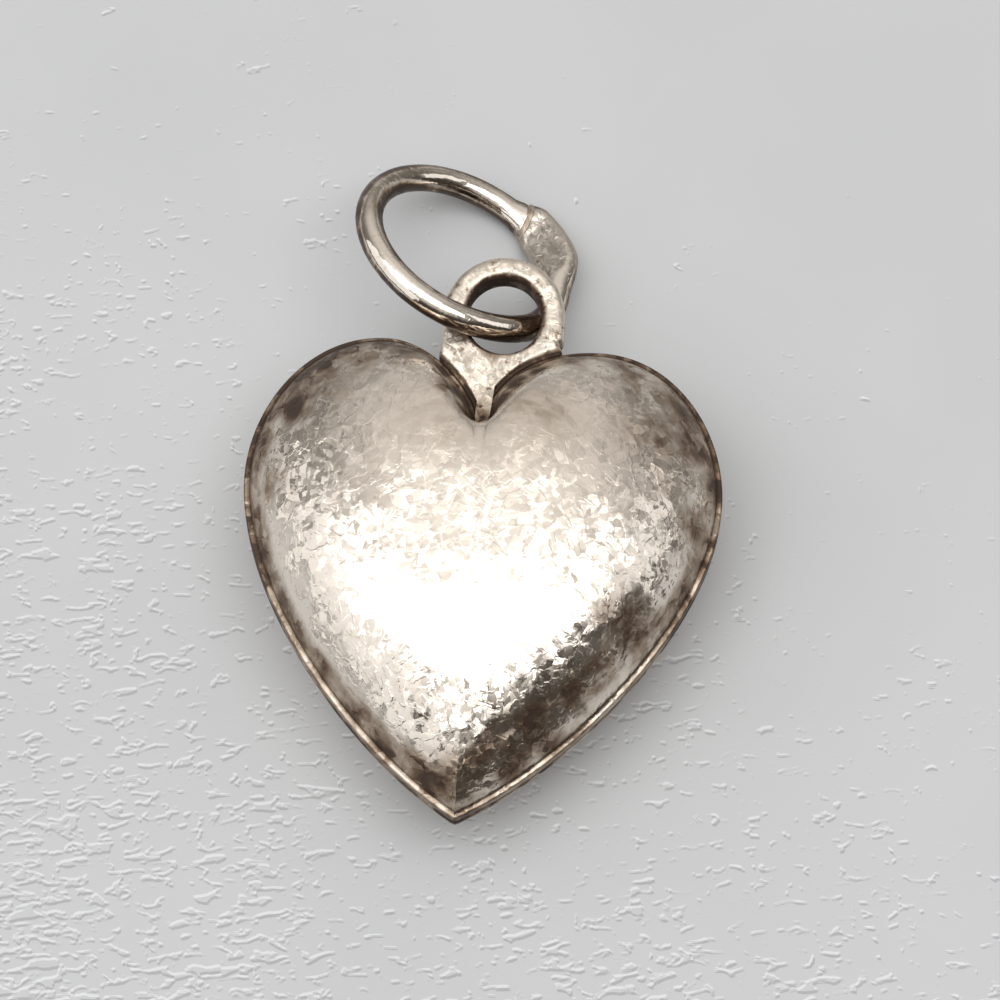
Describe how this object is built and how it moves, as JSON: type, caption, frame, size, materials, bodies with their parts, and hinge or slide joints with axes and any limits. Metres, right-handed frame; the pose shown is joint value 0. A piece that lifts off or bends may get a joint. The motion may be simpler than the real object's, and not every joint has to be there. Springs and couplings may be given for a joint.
{
  "type": "heart pendant",
  "caption": "puffed hollow heart pendant of worn silver, pressed halves soldered rim to rim, with a flat eyelet in the cleft and a loose jump ring for a chain or cord",
  "frame": {"origin": "middle of the small worn flat on the crown of the back, on which the pendant lies", "axes": "+Z out of the front of the heart, +Y from the tip of the heart towards the eyelet and the ring, +X to the right as seen from the front"},
  "size_m": [0.015, 0.0229, 0.0058],
  "materials": {
    "worn_silver": "worn satin silver with fine nicks and brown tarnish",
    "bright_silver": "bright flat silver with fine scratches",
    "polished_silver": "polished silver wire",
    "solder": "dull grey silver solder"
  },
  "bodies": {
    "heart": {"front_shell": "worn_silver", "back_shell": "worn_silver", "seam_solder": "solder", "eyelet": "bright_silver", "eyelet_solder": "solder"},
    "ring": {"jump_ring": "polished_silver", "ring_solder": "solder"}
  },
  "joints": [
    {"name": "ring_swing", "type": "hinge", "parent": "heart", "child": "ring", "pos_m": [0.00039, 0.00764, 0.00277], "axis": [0.4115, 0.7724, -0.4838], "range_deg": [0, 120]}
  ]
}
